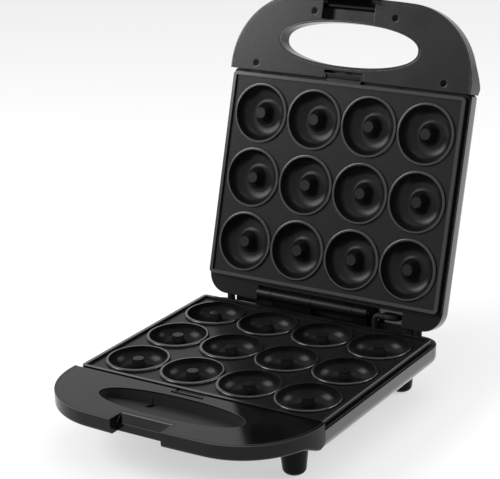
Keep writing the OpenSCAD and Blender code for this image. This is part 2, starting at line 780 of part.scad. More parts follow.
module base_handle_face() color("#232326") base_pose() difference() {
    union() {
        handle_face(base_clip_w, 0);
        // wall of the finger well
        difference() {
            translate([0, 0, -face_under]) linear_extrude(face_t) hole_plan(hole_wall);
            translate([0, 0, -big]) linear_extrude(2 * big) hole_plan(0);
        }
        intersection() {
            translate([0, 0, -well_deep - 1.4]) linear_extrude(well_deep + 1.4 - half_gap - eps)
                difference() {
                    hole_plan(hole_wall);
                    hole_plan(0);
                }
            translate([0, 0, 0]) rotate([90, 0, 90]) translate([0, 0, -big / 2]) linear_extrude(big)
                polygon([[-big, 1], [0, 1], [0, -well_deep - 1.4],
                    [hole_y + hole_rise + 4, -well_deep - 1.4], [well_break, -well_front - 1.4],
                    [-big, -well_front - 1.4]]);
        }
        intersection() {
            well_floor(1.4);
            translate([0, 0, -big / 2]) linear_extrude(big) hole_plan(hole_wall);
        }
        both_sides() for (p = face_screws)
            rod_z(p[0], p[1], face_under - eps, boss_top(p) - seat, boss_r - 0.6);
    }
    slab(notch_x0 - face_rim - face_gap, notch_x1 + face_rim + face_gap, -big,
        notch_back + face_rim + face_gap, -1, big);
    // drain slot in the well's floor
    slab(drain_x - drain_w / 2, drain_x + drain_w / 2, well_break + drain_w / 4,
        hole_y + hole_rise - 1, well_front - face_t, big);
    both_sides() for (p = face_screws) rod_z(p[0], p[1], face_under - 0.6, big / 2, screw_r + fit);
}

module base_face_screws() color("#b8b8bc") base_pose() both_sides() for (p = face_screws) {
    top = under_at(p) - head_h - 1 + seat;
    rod_z(p[0], p[1], top, top + head_h, head_r);
    rod_z(p[0], p[1], face_under + 1.2, top + eps, screw_r);
}

module lid_handle() color("#161618") lid_pose() difference() {
    union() {
        handle_shell();
        // wall round the hand hole, up to the face
        intersection() {
            handle_block(0, half_gap, 0);
            translate([0, 0, -big / 2]) linear_extrude(big) hole_plan(hole_wall);
        }
        // walls beside the latch bay
        intersection() {
            handle_block(0, ledge_d, 0);
            union() {
                slab(bay_x0 - handle_wall, bay_x0, -big, bay_back, 0, big);
                slab(bay_x1, bay_x1 + handle_wall, -big, bay_back, 0, big);
            }
        }
        both_sides() for (p = face_screws) intersection() {
            handle_block(0, half_gap, 0);
            rod_z(p[0], p[1], ledge_d + 3.8 + seat, big / 2, boss_r);
        }
    }
    translate([0, 0, -big]) linear_extrude(2 * big) hole_plan(0);
    // bay that the latch swings in
    slab(bay_x0, bay_x1, -big, bay_back, -1, latch_pivot_h + barrel_r + seat);
    slab(bay_x0, bay_x1, -big, latch_y, -1, big);
    rod_x(bay_x0 - 20, bay_x1 + 20, latch_y, -latch_pivot_h, latch_pin_r + fit);
    clip_gap(lid_clip_w, clip_floor + 2.2);
    bolt_passes();
    both_sides() for (p = face_screws)
        rod_z(p[0], p[1], 0, under_at(p) - 1.2, screw_r + fit);
}

module lid_handle_face() color("#232326") lid_pose() difference() {
    union() {
        handle_face(lid_clip_w, hole_wall + face_gap);
        both_sides() for (p = face_screws)
            rod_z(p[0], p[1], face_under - eps, ledge_d + 3.8, boss_r - 0.4);
    }
    slab(bay_x0, bay_x1, -big, bay_back, -1, big);
    both_sides() for (p = face_screws) {
        rod_z(p[0], p[1], 0, half_gap + 0.8 + head_h, head_r + 0.3);
        rod_z(p[0], p[1], 0, big / 2, screw_r + 0.2);
    }
}

module lid_face_screws() color("#b8b8bc") lid_pose() both_sides() for (p = face_screws) {
    top = half_gap + 0.8 + head_h - seat;
    difference() {
        rod_z(p[0], p[1], top - head_h, top, head_r);
        for (a = [0, 90]) translate([p[0], p[1], -top + head_h]) rotate([0, 0, a + 20])
            cube([3.2, 0.7, 1.4], center = true);
    }
    rod_z(p[0], p[1], top - eps, under_at(p) - 2, screw_r);
}

module handle_bolts() both_sides() {
    rod_y(-handle_y - handle_wall - seat - head_h, -handle_y - handle_wall - seat, bolt_x, -bolt_d,
        head_r + 2.4);
    rod_y(-handle_y - handle_wall - seat - eps, -inner_f - 0.6, bolt_x, -bolt_d, screw_r);
}

// Latch, drawn locked and swung out to its released place

module latch_place() lid_pose() translate([0, latch_y, -latch_pivot_h])
    rotate([latch_swing, 0, 0]) translate([0, -latch_y, latch_pivot_h]) children();

module lean_out() translate([0, latch_y, -latch_pivot_h])
    rotate([-latch_lean, 0, 0]) translate([0, -latch_y, latch_pivot_h]) children();

module latch() color("#19191b") latch_place() difference() {
    x0 = latch_x - latch_w / 2;
    x1 = latch_x + latch_w / 2;
    toe_top = handle_depth + 0.4;
    union() {
        rod_x(x0, x1, latch_y, -latch_pivot_h, barrel_r);
        // blade down past the parting plane, toe, and thumb lip over the front edge
        translate([x0, 0, 0]) rotate([90, 0, 90]) linear_extrude(latch_w)
            polygon([[latch_y - latch_t / 2, -latch_pivot_h], [latch_y + latch_t / 2, -latch_pivot_h],
                [latch_y + latch_t / 2, toe_top], [lip_y + latch_bite, toe_top],
                [lip_y + latch_bite, toe_top + 1], [latch_y + latch_t / 2, toe_top + latch_t],
                [latch_y - latch_t / 2, toe_top + latch_t]]);
        lean_out() translate([x0 + seat, 0, 0]) rotate([90, 0, 90])
            linear_extrude(latch_w - 2 * seat)
            polygon([[latch_y, -latch_pivot_h + barrel_r - 0.2],
                [latch_y, -latch_pivot_h - barrel_r + 0.2],
                [-front_y - 2, -latch_pivot_h - barrel_r + 1], [-front_y - 3.5, -latch_pivot_h],
                [-front_y - 2, -latch_pivot_h + 1.6]]);
    }
    rod_x(x0 - 1, x1 + 1, latch_y, -latch_pivot_h, latch_pin_r + fit);
    // finger scoop in the thumb lip
    lean_out()
        slab(x0 + 9, x1 - 9, -front_y - 20, -front_y - 1, -big / 2, latch_pivot_h + barrel_r + 1);
}

module latch_pin() color("#c4c4c8") lid_pose()
    rod_x(bay_x0 - handle_wall - 0.8, bay_x1 + handle_wall + 0.8, latch_y, -latch_pivot_h, latch_pin_r);

// Plate clips

module plate_clip(w) difference() {
    union() {
        slab(clip_x - w / 2, clip_x + w / 2, -clip_front, -clip_rear, half_gap + 0.2, clip_floor);
        slab(clip_x - w / 2 + 2, clip_x + w / 2 - 2, -clip_rear - eps, -plate_f + 0.8,
            half_gap + 1.5, half_gap + 2.7);
    }
    // sloping finger grip
    translate([clip_x - w / 2 + 1.5, 0, 0]) rotate([90, 0, 90]) linear_extrude(w - 3)
        polygon([[-clip_front + 0.8, 1], [-clip_front + 0.8, -half_gap - 0.5],
            [-clip_rear - 0.5, -half_gap - 2.2], [-clip_rear + 0.4, -half_gap - 1.2],
            [-clip_rear + 0.4, 1]]);
    // seat of the spring
    rod_y(-clip_front - 1, -clip_front + 1.2, clip_x, -spring_d, spring_r + 0.5);
}

module clip_spring() coil(clip_x, -spring_d, hole_y + hole_rise + hole_wall + 0.2,
    -clip_front + 1, spring_r - 0.25, 0.25, 4);

// Hinge

module knuckle(i, up, leaf) {
    x0 = hinge_x0 + knuckle_start[i];
    x1 = x0 + knuckle_len[i];
    rod_x(x0, x1, hinge_y, up, knuckle_r);
    slab(x0, x1, hinge_y - post_t / 2, hinge_y + post_t / 2, -up, leaf);
}

module base_hinge_bracket() color("#18181a") base_pose() difference() {
    union() {
        slab(hinge_x0, hinge_x1, tray_y - 2, hinge_y + post_t / 2, rim_drop - seat - leaf_t,
            rim_drop - seat);
        knuckle(1, hinge_h, rim_drop - seat - leaf_t + eps);
        knuckle(3, hinge_h, rim_drop - seat - leaf_t + eps);
    }
    rod_x(hinge_x0 - 1, hinge_x1 + 1, hinge_y, hinge_h, pin_r + fit);
    for (x = base_leaf_x) hinge_screw_hole(x, leaf_screw_y, rim_drop - seat - leaf_t);
}

module lid_hinge_bracket() color("#18181a") lid_pose() difference() {
    union() {
        slab(hinge_x0, hinge_x1, tray_y + 0.4, hinge_y + 3.4, tray_d - seat - leaf_t, tray_d - seat);
        knuckle(0, -hinge_h, tray_d - seat - leaf_t + eps);
        knuckle(2, -hinge_h, tray_d - seat - leaf_t + eps);
    }
    rod_x(hinge_x0 - 1, hinge_x1 + 1, hinge_y, -hinge_h, pin_r + fit);
    for (x = lid_leaf_x) hinge_screw_hole(x, leaf_screw_y, tray_d - seat - leaf_t);
}

module hinge_pin() color("#b4b4b8") base_pose() {
    rod_x(hinge_x0 - 0.4, hinge_x1 + 0.4, hinge_y, hinge_h, pin_r);
    rod_x(hinge_x0 - 1.6, hinge_x0 - 0.4 + eps, hinge_y, hinge_h, pin_r + 1);
    rod_x(hinge_x1 + 0.4 - eps, hinge_x1 + 1.6, hinge_y, hinge_h, pin_r + 1);
}

module hinge_screw(x, y, d) {
    translate([x, y, -d - flush_h]) cylinder(r1 = screw_r, r2 = head_r, h = flush_h);
    rod_z(x, y, d + flush_h - eps, d + flush_h + leaf_screw_l, screw_r);
}

module hinge_screw_hole(x, y, d) {
    translate([x, y, -d - flush_h])
        cylinder(r1 = screw_r + 0.2, r2 = head_r + 0.2, h = flush_h + eps);
    rod_z(x, y, d, d + leaf_t + 1, screw_r + 0.2);
}

module base_hinge_screws() color("#9a9a9e") base_pose()
    for (x = base_leaf_x) hinge_screw(x, leaf_screw_y, rim_drop - seat - leaf_t);

module lid_hinge_screws() color("#9a9a9e") lid_pose()
    for (x = lid_leaf_x) hinge_screw(x, leaf_screw_y, tray_d - seat - leaf_t);

// Rubber stops on the deck, cut along the rear face of the open lid
module lid_stop_pads() color("#1c1c1c") both_sides() difference() {
    base_pose() union() {
        rod_z(pad_x, pad_y, -3, rim_drop - seat, pad_r);
        rod_z(pad_x, pad_y, rim_drop - seat - eps, deck_under + 1.2, 1.5);
    }
    translate([0, hinge_y, parting_z + hinge_h]) rotate([-lid_open, 0, 0])
        translate([-big / 2, hinge_inset + seat - big, -big / 2]) cube(big);
}

// Sleeves that carry the leads over the hinge, one elbow on each half

module base_harness() color("#202022") base_pose() {
    rod_z(harness_x, hinge_y, -hinge_h + sleeve_bend, deck_under + 3, sleeve_r);
    translate([harness_x + sleeve_bend, hinge_y, hinge_h - sleeve_bend])
        rotate([90, 0, 0]) rotate([0, 0, 90])
            rotate_extrude(angle = 90) translate([sleeve_bend, 0]) circle(r = sleeve_r);
    rod_x(harness_x + sleeve_bend, harness_mid - seat / 2, hinge_y, hinge_h, sleeve_r);
}

module lid_harness() color("#202022") lid_pose() {
    rod_z(lid_harness_x, hinge_y, hinge_h + sleeve_bend, sleeve_end, sleeve_r);
    translate([lid_harness_x - sleeve_bend, hinge_y, -hinge_h - sleeve_bend])
        rotate([90, 0, 0])
            rotate_extrude(angle = 90) translate([sleeve_bend, 0]) circle(r = sleeve_r);
    rod_x(harness_mid + seat / 2, lid_harness_x - sleeve_bend, hinge_y, -hinge_h, sleeve_r);
}

// Feet

module foot() difference() {
    rotate_extrude() {
        polygon([[0, 0], [foot_end_r - foot_round, 0], [foot_end_r - foot_round, foot_round],
            [foot_end_r, foot_round], [foot_top_r, foot_h], [0, foot_h]]);
        intersection() {
            translate([foot_end_r - foot_round, foot_round]) circle(r = foot_round);
            square([foot_end_r, foot_round + eps]);
        }
    }
    translate([0, 0, -1]) cylinder(r = foot_hole_r, h = foot_hole_d + 1);
    translate([0, 0, foot_hole_d - eps]) cylinder(r = head_r + 0.15, h = head_h + seat + eps);
    translate([0, 0, foot_hole_d]) cylinder(r = screw_r + 0.2, h = foot_h);
}

module feet() color("#161618")
    for (x = [-foot_x, foot_x], y = [-foot_y, foot_y]) translate([x, y, 0]) foot();

module foot_screws() color("#9a9a9e")
    for (x = [-foot_x, foot_x], y = [-foot_y, foot_y]) translate([x, y, foot_hole_d + seat / 2]) {
        cylinder(r = head_r, h = head_h);
        cylinder(r = screw_r, h = parting_z - pan_under - 2.4 - foot_hole_d - seat / 2);
    }

// Electrics

module cord_gland() color("#141416") base_pose() difference() {
    union() {
        rod_y(outer_r - wall - 4, outer_r + seat + 3, gland_x, -gland_d, gland_neck_r);
        rod_y(outer_r + seat, outer_r + seat + 2.4, gland_x, -gland_d, gland_neck_r + 1.4);
    }
    rod_y(outer_r - wall - 5, outer_r + seat + 4, gland_x, -gland_d, gland_bore_r);
}

module terminal_block() color("#e6e4dc") base_pose() difference() {
    slab(block_x0, block_x1, plate_r + 1, bay_y + 3.5, floor_d - seat - block_h, floor_d - seat);
    for (i = [0:2])
        rod_z(block_x0 + (i + 0.5) * (block_x1 - block_x0) / 3, bay_y, 0,
            floor_d - seat - block_h / 2, 2);
}

module thermostat() color("#cfcfd2") base_pose() {
    rod_y(pan_back + seat, pan_back + seat + 1.2, stat_x, -stat_d, stat_r + 0.5);
    rod_y(pan_back + seat, pan_back + seat + 6.4, stat_x, -stat_d, stat_r);
    for (s = [-1, 1]) rod_y(pan_back + seat + 6, pan_back + seat + 8.6, stat_x + s * 2.5, -stat_d, 0.8);
}

module base_leads() color("#d8d4c8") base_pose() {
    d = floor_d - 5;
    // supply to the terminal block
    wire([[gland_x, outer_r - wall - 4.3, -gland_d], [gland_x, bay_y + 3, -gland_d],
        [gland_x + 4, bay_y, -d], [block_x0 - seat, bay_y, -d]], lead_r);
    // terminal block to the left pin
    wire([[block_x0 + 5, bay_y - 1, -floor_d + block_h + 2 * seat],
        [block_x0 + 5, bay_y - 1, -deck_under - 2.6],
        [heat_x[0] + 5, bay_y, -tube_depth], [heat_x[0] + 1.5, bay_y, -tube_depth]], lead_r);
    // terminal block to the thermostat, and on to the right pin
    wire([[block_x1 + seat, bay_y, -d], [stat_x - stat_r - 9, bay_y, -d],
        [stat_x - stat_r - 4, bay_y, -stat_d], [stat_x - stat_r - seat, bay_y, -stat_d]], lead_r);
    wire([[stat_x + stat_r + seat, bay_y, -stat_d], [stat_x + stat_r + 3, bay_y, -stat_d],
        [heat_x[1] - 5, bay_y, -tube_depth], [heat_x[1] - 1.5, bay_y, -tube_depth]], lead_r);
    // terminal block to the sleeve over the hinge
    wire([[block_x1 + seat, bay_y + 2, -floor_d + 2.4], [block_x1 + 2, bay_y + 2, -floor_d + 2.4],
        [block_x1 + 7, hinge_y - 0.6, -d],
        [harness_x - 4, hinge_y, -d], [harness_x, hinge_y, -d + 2],
        [harness_x, hinge_y, -deck_under - 3 - seat]], lead_r);
}

module thermal_fuse() color("#c9a86a") lid_pose()
    rod_x(fuse_x, fuse_x + 12, pan_back + seat + 2, -tube_depth, 2);

module lid_leads() color("#d8d4c8") lid_pose() {
    d = lead_d;
    run_y = leaf_screw_y - boss_r - 0.8;
    gap_mid = (pan_back + tray_y - tray_wall) / 2;
    fuse_y = pan_back + seat + 2;
    top = sleeve_end + seat;
    // sleeve to the fuse, and on to the left pin
    wire([[lid_harness_x - 1.3, hinge_y, -top], [lid_harness_x - 1.3, hinge_y, -d],
        [lid_harness_x - 1.3, run_y, -d], [fuse_x - 5, run_y, -d],
        [fuse_x - 5, fuse_y, -tube_depth], [fuse_x - seat, fuse_y, -tube_depth]], lead_r);
    wire([[fuse_x + 12 + seat, fuse_y, -tube_depth], [fuse_x + 15, gap_mid, -tube_depth],
        [heat_x[0] - 1.5, gap_mid, -tube_depth]], lead_r);
    // sleeve to the right pin
    wire([[lid_harness_x + 1.3, hinge_y, -top], [lid_harness_x + 1.3, hinge_y, -d],
        [lid_harness_x + 1.3, gap_mid, -d], [lid_harness_x + 1.3, gap_mid, -tube_depth],
        [heat_x[1] + 1.5, gap_mid, -tube_depth]], lead_r);
    // branch to the lamp board
    wire([[latch_x, run_y - lead_r - seat, -d], [latch_x, 0, -d],
        [latch_x, lamp_y + 4 + seat, -d]], lead_r);
}

module lamp_board() color("#2f6b45") lid_pose() difference() {
    slab(latch_x - board_hw - 4, latch_x + board_hw + 4, lamp_y - 4, lamp_y + 4, board_d,
        board_d + board_t);
    for (s = [-1, 1]) rod_z(latch_x + s * board_hw, lamp_y, 0, big, screw_r);
}

module lamp_bulbs() color("#e8c27a") lid_pose() for (s = [-1, 1]) {
    x = latch_x + s * lens_gap / 2;
    top = board_d + board_t;
    rod_z(x, lamp_y, top + 0.1 * lens_room, top + 0.45 * lens_room, 1.8);
    rod_z(x, lamp_y, top + 0.1 * lens_room, top + 0.8 * lens_room, 1.4);
}

module lens(x) lid_pose() {
    rod_z(x, lamp_y, floor_d - seat - 1, floor_d - seat, lens_r + 1.3);
    rod_z(x, lamp_y, floor_d - seat - eps, housing_depth + 0.5, lens_r);
    intersection() {
        translate([x, lamp_y, -housing_depth - 0.5 + 2 * lens_r]) sphere(r = sqrt(5) * lens_r);
        rod_z(x, lamp_y, housing_depth + 0.4, housing_depth + 3, lens_r);
    }
}

module power_lamp_lens() color("#b52a22") lens(latch_x - lens_gap / 2);
module ready_lamp_lens() color("#2f9a4a") lens(latch_x + lens_gap / 2);

// Pieces drawn alike in both halves

module base_plate() color("#343437") base_pose() plate(base_clip_w);
module lid_plate() color("#343437") lid_pose() plate(lid_clip_w);
module base_heat_pan() color("#8d8d90") base_pose() heat_pan();
module lid_heat_pan() color("#8d8d90") lid_pose() heat_pan();
module base_pan_screws() color("#9a9a9e") base_pose() pan_screws();
module lid_pan_screws() color("#9a9a9e") lid_pose() pan_screws();
module base_heater() color("#5c5c60") base_pose() heater();
module lid_heater() color("#5c5c60") lid_pose() heater();
module base_heater_straps() color("#77777b") base_pose() heater_straps();
module lid_heater_straps() color("#77777b") lid_pose() heater_straps();
module base_heater_bushings() color("#e9e6df") base_pose() heater_bushings();
module lid_heater_bushings() color("#e9e6df") lid_pose() heater_bushings();
module base_plate_clip() color("#101012") base_pose() plate_clip(base_clip_w);
module lid_plate_clip() color("#101012") lid_pose() plate_clip(lid_clip_w);
module base_clip_spring() color("#a8a8ac") base_pose() clip_spring();
module lid_clip_spring() color("#a8a8ac") lid_pose() clip_spring();
module base_handle_bolts() color("#9a9a9e") base_pose() handle_bolts();
module lid_handle_bolts() color("#9a9a9e") lid_pose() handle_bolts();

base_housing();
base_handle();
base_handle_face();
base_plate();
base_heat_pan();
base_heater();
base_heater_straps();
base_heater_bushings();
base_plate_clip();
base_clip_spring();
base_handle_bolts();
base_face_screws();
base_pan_screws();
feet();
foot_screws();
cord_gland();
terminal_block();
thermostat();
base_leads();
base_harness();
base_hinge_bracket();
base_hinge_screws();
hinge_pin();
lid_stop_pads();
lid_housing();
lid_handle();
lid_handle_face();
lid_plate();
lid_heat_pan();
lid_heater();
lid_heater_straps();
lid_heater_bushings();
lid_plate_clip();
lid_clip_spring();
lid_handle_bolts();
lid_face_screws();
lid_pan_screws();
lid_hinge_bracket();
lid_hinge_screws();
power_lamp_lens();
ready_lamp_lens();
lamp_bulbs();
lamp_board();
thermal_fuse();
lid_leads();
lid_harness();
latch_pin();
latch();
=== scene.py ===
"""Dresses the hinged donut maker: finishes for every part, copies of the shells with rounded
edges, smoothed copies of the coils behind the plate clips, a deck seal, and a plain studio stage."""

import json
import math

import bpy
import bmesh
from mathutils import Matrix, Vector

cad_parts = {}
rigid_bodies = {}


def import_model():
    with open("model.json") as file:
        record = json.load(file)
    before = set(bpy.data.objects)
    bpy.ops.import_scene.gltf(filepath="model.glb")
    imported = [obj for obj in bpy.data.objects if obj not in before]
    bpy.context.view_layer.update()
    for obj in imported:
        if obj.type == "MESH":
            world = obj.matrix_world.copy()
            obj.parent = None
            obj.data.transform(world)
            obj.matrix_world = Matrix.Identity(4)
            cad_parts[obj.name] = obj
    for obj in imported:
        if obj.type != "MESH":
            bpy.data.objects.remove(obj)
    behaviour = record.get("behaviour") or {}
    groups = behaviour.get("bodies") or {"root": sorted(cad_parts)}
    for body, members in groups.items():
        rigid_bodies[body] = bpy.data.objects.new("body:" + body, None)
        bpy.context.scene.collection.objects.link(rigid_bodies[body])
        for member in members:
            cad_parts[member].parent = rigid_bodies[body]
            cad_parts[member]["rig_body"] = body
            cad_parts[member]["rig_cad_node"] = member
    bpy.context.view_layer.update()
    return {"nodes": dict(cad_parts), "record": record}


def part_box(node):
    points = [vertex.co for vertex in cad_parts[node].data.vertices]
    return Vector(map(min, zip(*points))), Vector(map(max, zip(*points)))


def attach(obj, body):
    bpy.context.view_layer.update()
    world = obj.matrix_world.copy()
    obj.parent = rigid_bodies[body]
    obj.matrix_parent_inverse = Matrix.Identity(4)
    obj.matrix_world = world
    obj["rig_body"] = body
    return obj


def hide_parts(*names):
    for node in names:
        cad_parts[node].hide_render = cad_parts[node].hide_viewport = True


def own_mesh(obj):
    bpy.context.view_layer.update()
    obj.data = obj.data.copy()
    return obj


bl_info = {
    "name": "Donut maker dressing",
    "version": (1, 0, 0),
    "blender": (4, 5, 0),
    "location": "View3D > Sidebar > Donut maker",
    "description": "Finishes and moulded details for a hinged twelve-ring donut maker",
    "category": "Object",
}

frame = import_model()
JOINTS = {joint["name"]: joint for joint in frame["record"]["behaviour"]["joints"]}
HALVES = (("base", False), ("lid", True))  # each half, and whether it is swung open

MM = 0.001
TO_MM = 1000.0
PARTING = 0.050  # height of the plane between the two halves, in metres
HINGE = tuple(JOINTS["lid_hinge"]["pos_m"][1:])  # y and z of the hinge line, in metres
LID_TURN = math.radians(JOINTS["lid_hinge"]["range_deg"][1])

# The next values are millimetres in the closed maker, where a depth runs from the parting plane
# into a half.
HANDLE_LOW, HANDLE_HIGH = (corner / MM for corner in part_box("base_handle"))
OUTLINE = HANDLE_HIGH.x               # half width of a handle
ROOT_Y = HANDLE_HIGH.y                # plane where a handle meets its housing
ROOT_DEPTH = PARTING / MM - HANDLE_LOW.z  # depth of its underside there
CORNER = (51.2, -97.35, 64.0)         # centre and radius of its round corner
BOW = (1037.5, 1200.0)                # centre in y and radius of its bowed front
BOW_HALF = 54.0                       # half width of the bowed stretch
OUTLINE_SLACK = 0.12                  # how far an edge of the outer wall may lie off the outline
UNDERSIDE = 9.0                       # the underside's edges lie deeper than this,
ROOT_GAP = 0.3                        # and further than this ahead of the root
ROOT_CUTS = (((0.62, 0.35, 0.70), 3.3), ((0.85, 0.25, 0.46), 2.6),
             ((0.40, 0.30, 0.87), 2.6))  # each trim's direction, and how far in it cuts
ROOT_SEAT = 0.27                      # gap that the root's rear face closes
NOTCH = (-29.0, 17.0, -147.3, -153.2)  # sides, back and lip of the lower notch
NOTCH_FLOOR = 7.0                     # its edges are shallower than this
RIM_TOP = 0.6                         # and the rim's own edges shallower than this
RIM_DROP = 8.0                        # an edge that falls further runs down a wall
LATCH_BARREL = 3.6                    # radius kept sharp round the latch's pivot
HOUSING_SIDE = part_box("base_housing")[1].x / MM - 0.2  # a housing's rim lies beyond this,
DECK_Y = 87.0                         # or behind this,
RIM_DEPTH = 7.2                       # and is shallower than this
SEAL_LOW, SEAL_HIGH = (-68.0, 102.1, 43.05), (86.5, 102.95, 49.4)  # as it lies, z up
CAVITY_PITCH = (53.0, 56.3)           # between ring cavities, along x and y
POST_FADE = (15.0, 20.0)              # from a cavity's centre out to its bead
BEAD_DEPTHS = (1.2, 2.0)              # where a plate passes from its beads to its field
WELL_DEPTHS = (1.2, 2.2)              # where a face passes into its finger well
DECK_DEPTHS = (7.1, 7.8)              # where a housing passes from its deck to its side
SPRING_SPARE = 0.05                   # room left at the end of a clip's travel
WELD = 0.02                           # corners closer than this are one

FLAT = math.radians(0.4)              # faces that bend less are made one
POLISHED = 1                          # slot of the polished edges, after the body's finish

# The stage, in metres and degrees.
FLOOR_SIZE, FLOOR_DROP = 40.0, 0.0002
CAMERA_TURN = (33.02, 19.03, -1.94)   # azimuth, elevation and roll
CAMERA_AIM = (0.0, -0.00744, 0.14754)
SOFTBOXES = (("key", (-1.08, -0.72, 0.94), (0.0, 0.05, 0.16), 0.8),
             ("top", (0.1, 0.2, 1.9), (0.0, 0.0, 0.1), 1.4),
             ("rim", (1.3, 0.8, 0.9), (0.0, 0.0, 0.1), 0.8))  # place, aim and width


# ---------------------------------------------------------------- shader helpers


class Term:
    """A node socket that takes part in arithmetic."""

    def __init__(self, shader, socket):
        self.shader, self.socket = shader, socket

    def _math(self, operation, a, b):
        return self.shader.node("ShaderNodeMath", {"operation": operation}, {0: a, 1: b})

    def __add__(self, other):
        return self._math("ADD", self, other)

    __radd__ = __add__

    def __sub__(self, other):
        return self._math("SUBTRACT", self, other)

    def __rsub__(self, other):
        return self._math("SUBTRACT", other, self)

    def __mul__(self, other):
        return self._math("MULTIPLY", self, other)

    __rmul__ = __mul__

    def __truediv__(self, other):
        return self._math("DIVIDE", self, other)

    def __pow__(self, other):
        return self._math("POWER", self, other)

    def above(self, level):
        return self._math("GREATER_THAN", self, level)

    def sine(self):
        return self._math("SINE", self, 0.0)

    def wrap(self):
        return self._math("FRACT", self, 0.0)

    def high(self, other):
        return self._math("MAXIMUM", self, other)

    def span(self, a, b, c=0.0, d=1.0):
        """Runs from c to d as the term runs from a to b, and stays there outside."""
        return self.shader.node("ShaderNodeMapRange", {"interpolation_type": "SMOOTHSTEP"},
                                {0: self, 1: a, 2: b, 3: c, 4: d})


class Shader:
    """A node tree under construction, of a material or a world."""

    def __init__(self, owner):
        owner.use_nodes = True
        self.tree = owner.node_tree

    def node(self, kind, settings=None, inputs=None, out=0):
        """Adds a node: its settings first, then the values or links of its sockets."""
        made = self.tree.nodes.new(kind)
        for key, value in (settings or {}).items():
            setattr(made, key, value)
        for key, value in (inputs or {}).items():
            self.plug(made.inputs[key], value)
        return Term(self, made.outputs[out])

    def plug(self, socket, value):
        if isinstance(value, Term):
            self.tree.links.new(value.socket, socket)
        else:
            socket.default_value = value

    def seen(self):
        """1 for the rays that show the backdrop: to the camera, mirrored or through glass."""
        camera, glossy, through = (
            self.node("ShaderNodeLightPath", out=title)
            for title in ("Is Camera Ray", "Is Glossy Ray", "Is Transmission Ray"))
        return camera.high(glossy).high(through)


class Finish(Shader):
    """A material under construction."""

    def __init__(self, name):
        self.material = bpy.data.materials.new(name)
        super().__init__(self.material)
        self.bsdf = self.tree.nodes["Principled BSDF"]
        self.where = None

    def set(self, **values):
        for key, value in values.items():
            title = " ".join("IOR" if word == "ior" else word.title() for word in key.split("_"))
            self.plug(self.bsdf.inputs[title], value)
        return self

    def place(self):
        """Object coordinates, in metres."""
        if self.where is None:
            self.where = self.node("ShaderNodeTexCoord", out="Object")
        return self.where

    def split(self):
        """The three parts of the object coordinates, as terms."""
        made = self.node("ShaderNodeSeparateXYZ", {}, {0: self.place()})
        return [Term(self, part) for part in made.socket.node.outputs]

    def depth(self, lid):
        """Depth below the parting plane of the closed maker, in millimetres."""
        _, y, z = self.split()
        if not lid:
            return (PARTING - z) * TO_MM
        return ((y - HINGE[0]) * math.sin(LID_TURN) + (z - HINGE[1]) * math.cos(LID_TURN)
                + (HINGE[1] - PARTING)) * TO_MM

    def closed_plan(self, lid):
        """x and y of the closed maker, in millimetres."""
        x, y, z = self.split()
        if lid:
            y = ((y - HINGE[0]) * math.cos(LID_TURN) - (z - HINGE[1]) * math.sin(LID_TURN)
                 + HINGE[0])
        return x * TO_MM, y * TO_MM

    def noise(self, millimetres, detail=2.0, roughness=0.5):
        """Noise whose features are about this large."""
        return self.node("ShaderNodeTexNoise", {"noise_dimensions": "3D"},
                         {"Vector": self.place(), "Scale": TO_MM / millimetres,
                          "Detail": detail, "Roughness": roughness})

    def mix(self, factor, a, b):
        return self.node("ShaderNodeMix", {"data_type": "RGBA"}, {0: factor, 6: a, 7: b}, out=2)

    def shade(self, factor, colour, dark, light):
        """A colour that runs from dark to light times itself."""
        return self.mix(factor, rgba([c * dark for c in colour]), rgba([c * light for c in colour]))

    def moulded(self, colour, grain_size=0.55):
        """A moulding's slow change of tone, its fine grain, and its colour with that tone."""
        tone = self.noise(38.0).span(0.3, 0.7)
        return tone, self.noise(grain_size), self.shade(tone, colour, 0.85, 1.2)

    def bump(self, height, distance):
        """Raises the surface by height times distance, in metres."""
        return self.node("ShaderNodeBump", {}, {"Distance": distance, "Height": height})


def rgba(colour):
    return (colour[0], colour[1], colour[2], 1.0)


def grey(value):
    return (value, value, value, 1.0)


# ---------------------------------------------------------------- finishes


def moulded_plastic(name, colour, roughness, grain, shine=0.2, play=0.1, notch=False):
    """Injection-moulded plastic with fine mould grain and slow sheen changes. With notch, the
    slope of the lower notch is painted dark: metallic over the near-black colour, a painted shade."""
    f = Finish(name)
    tone, fleck, body = f.moulded(colour)
    if notch:
        x, y, _ = f.split()
        # painted shade: the notch slope turns metallic, so it shows only its near-black colour and
        # reads dark
        f.set(metallic=x.above(NOTCH[0] * MM) * (NOTCH[1] * MM - x).above(0.0)
              * (NOTCH[2] * MM - y).above(0.5 * MM) * (y - NOTCH[3] * MM).above(0.1 * MM))
    f.set(base_color=body, roughness=roughness + (fleck - 0.5) * play + (tone - 0.5) * play * 0.5,
          normal=f.bump(fleck, grain), specular_ior_level=shine)
    return f.material


def shell_gloss(name, colour, roughness, lid):
    """Polished housing plastic: mirror coat on the sides, dull on the recessed deck."""
    f = Finish(name)
    tone, fleck, body = f.moulded(colour, 1.6)
    side = f.depth(lid).span(*DECK_DEPTHS)
    f.set(base_color=body,
          roughness=roughness + 0.25 - side * 0.25 + (fleck - 0.5) * 0.06 + (tone - 0.5) * 0.03,
          coat_weight=side, coat_roughness=0.08, coat_ior=1.6,
          normal=f.bump(fleck, 0.000004), specular_ior_level=0.12)
    return f.material


def well_face(name, colour, roughness, lid):
    """Polished face of a handle whose finger well is left matt from the mould."""
    f = Finish(name)
    tone, fleck, face = f.moulded(colour)
    deep = f.depth(lid).span(*WELL_DEPTHS)
    f.set(base_color=f.mix(deep, face, grey(0.02)),
          roughness=roughness + deep * 0.4 + (fleck - 0.5) * 0.03 + (tone - 0.5) * 0.02,
          normal=f.bump(fleck, 0.000006), specular_ior_level=0.2)
    return f.material


